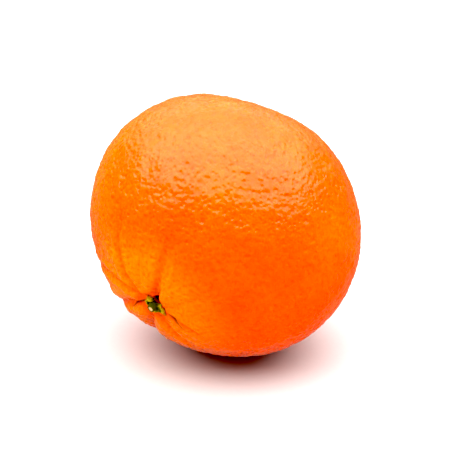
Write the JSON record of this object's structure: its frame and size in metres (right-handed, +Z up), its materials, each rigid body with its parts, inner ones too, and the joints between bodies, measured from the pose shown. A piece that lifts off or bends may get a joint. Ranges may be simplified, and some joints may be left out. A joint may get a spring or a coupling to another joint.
{
  "type": "whole orange",
  "caption": "Whole sweet orange lying on its side on a small flat spot, with pebbled rind, a furrowed stem end, a lobed green calyx and a cut stem stub.",
  "frame": {"origin": "centre of the part's box in X and Y, on the surface that the fruit rests on", "axes": "+Z up, -Y the level direction that the stem end faces, the stem's own axis dropping below level"},
  "size_m": [0.0796, 0.073, 0.0772],
  "materials": {
    "rind": "waxy, pebbled, satin orange peel",
    "calyx": "dry matt yellow-green calyx",
    "stem": "cut woody stem, pale and matt"
  },
  "bodies": {
    "root": {"fruit": "rind", "calyx": "calyx", "stem_stub": "stem"}
  },
  "joints": []
}
